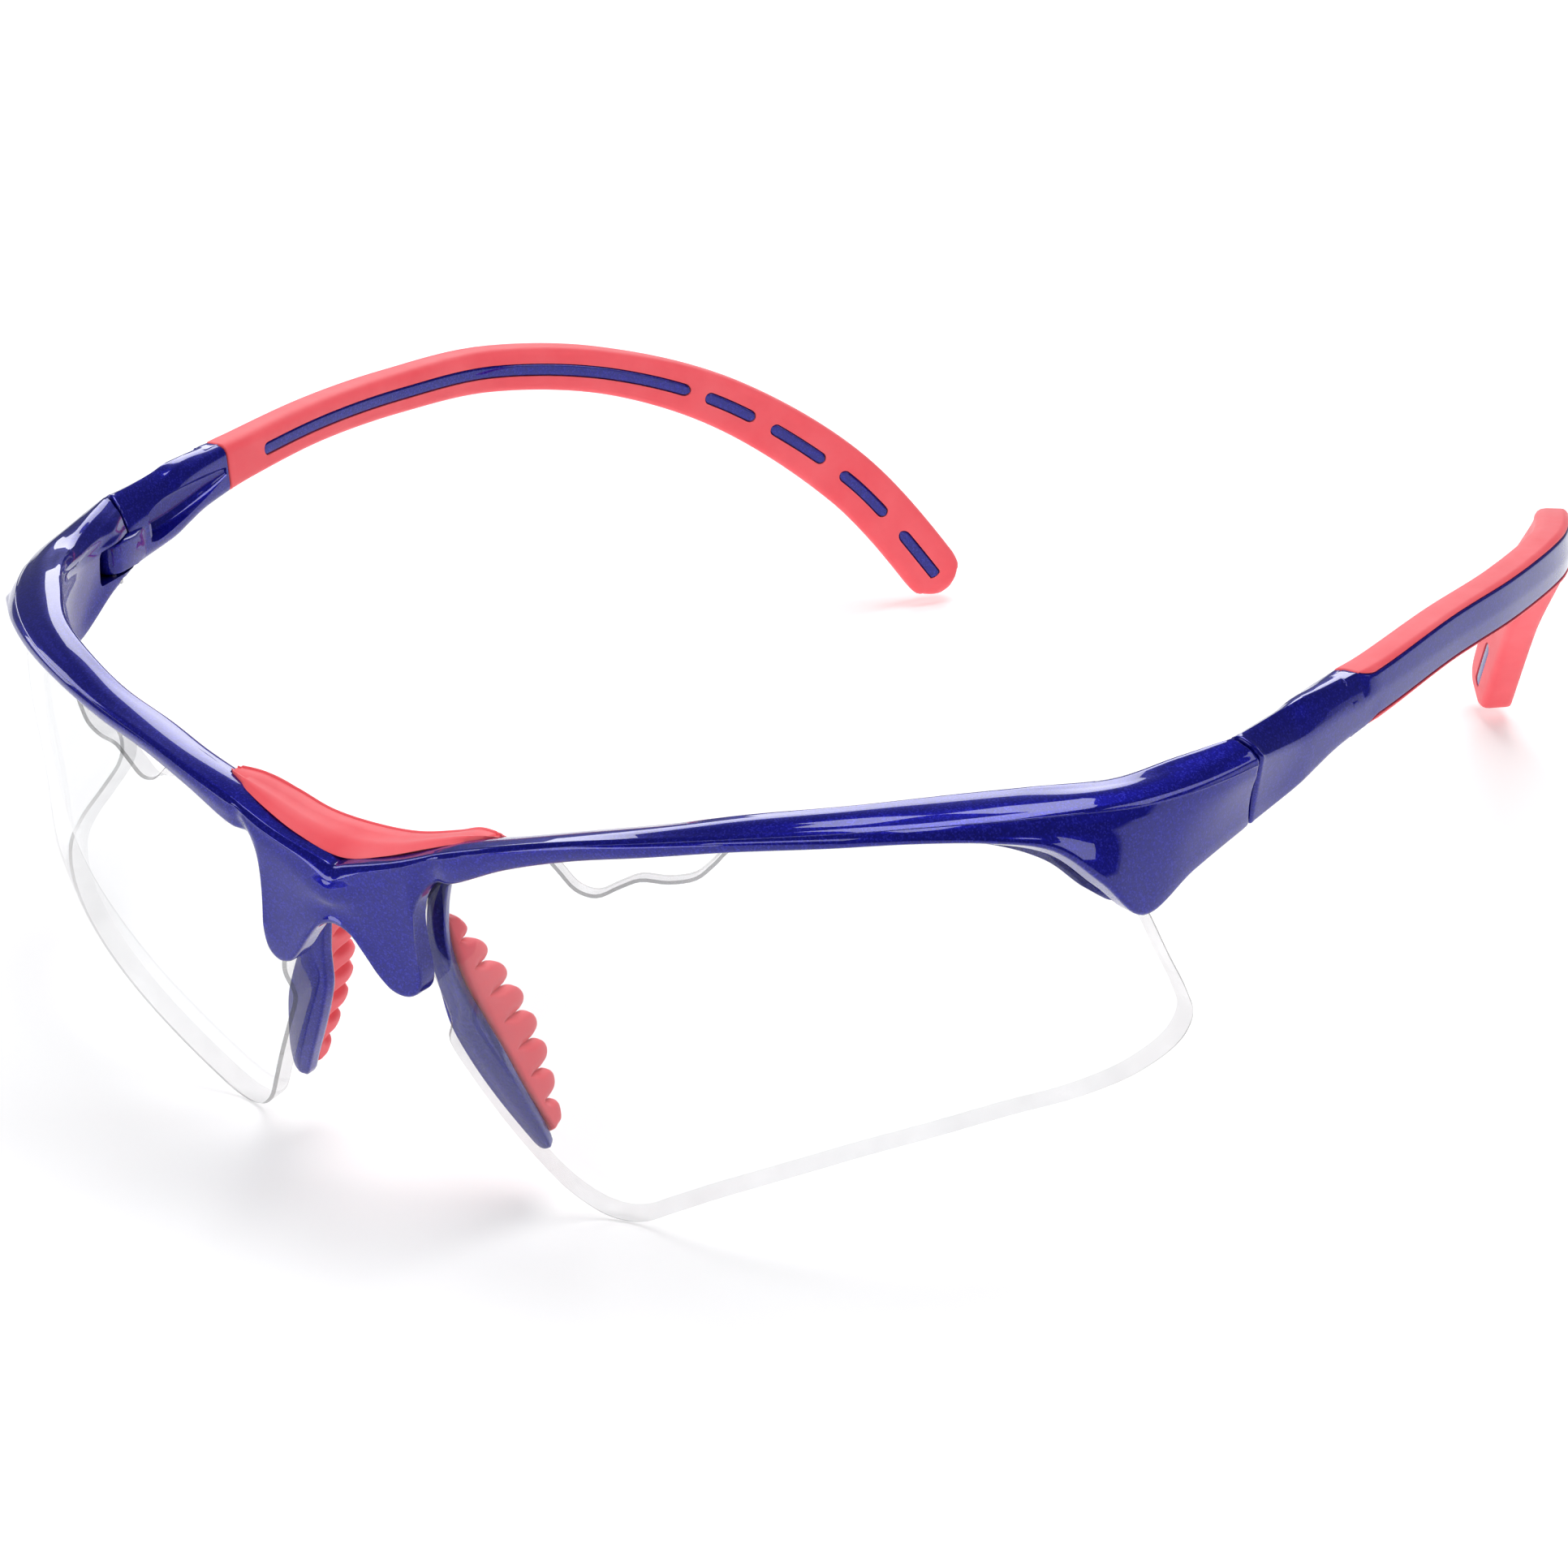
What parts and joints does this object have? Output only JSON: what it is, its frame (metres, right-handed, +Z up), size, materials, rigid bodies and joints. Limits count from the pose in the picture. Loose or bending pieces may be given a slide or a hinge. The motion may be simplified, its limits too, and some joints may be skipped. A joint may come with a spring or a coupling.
{
  "type": "protective sports glasses",
  "caption": "Wrap-around racket-sport protective glasses: browline half frame, clear lenses, soft brow and nose pads, and folding temples with soft grips.",
  "frame": {"origin": "middle of the open glasses' bounding box, on the surface they stand on", "axes": "+X to the wearer's left, -Y the way the wearer looks, +Z up; the glasses are the same on both sides of the plane X = 0"},
  "size_m": [0.1396, 0.1572, 0.0441],
  "materials": {
    "frame_lacquer": "metallic blue lacquer on a stiff moulded frame, glossy",
    "soft_grip": "matte coral elastomer",
    "clear_lens": "clear polycarbonate, polished, hard coated",
    "screw_steel": "turned steel",
    "insert_brass": "turned brass"
  },
  "bodies": {
    "front": {"front_frame": "frame_lacquer", "brow_pad": "soft_grip", "lens_left": "clear_lens", "lens_right": "clear_lens", "nose_bracket_left": "frame_lacquer", "nose_bracket_right": "frame_lacquer", "nose_pad_left": "soft_grip", "nose_pad_right": "soft_grip", "hinge_screw_left": "screw_steel", "hinge_screw_right": "screw_steel", "hinge_insert_left": "insert_brass", "hinge_insert_right": "insert_brass"},
    "temple_left": {"temple_core_left": "frame_lacquer", "temple_grip_left": "soft_grip"},
    "temple_right": {"temple_core_right": "frame_lacquer", "temple_grip_right": "soft_grip"}
  },
  "joints": [
    {"name": "temple_left_fold", "type": "hinge", "parent": "front", "child": "temple_left", "pos_m": [0.0636, -0.03854, 0.0383], "axis": [0, 0, 1], "range_deg": [0, 85]},
    {"name": "temple_right_fold", "type": "hinge", "parent": "front", "child": "temple_right", "pos_m": [-0.0636, -0.03854, 0.0383], "axis": [0, 0, -1], "range_deg": [0, 76]}
  ]
}
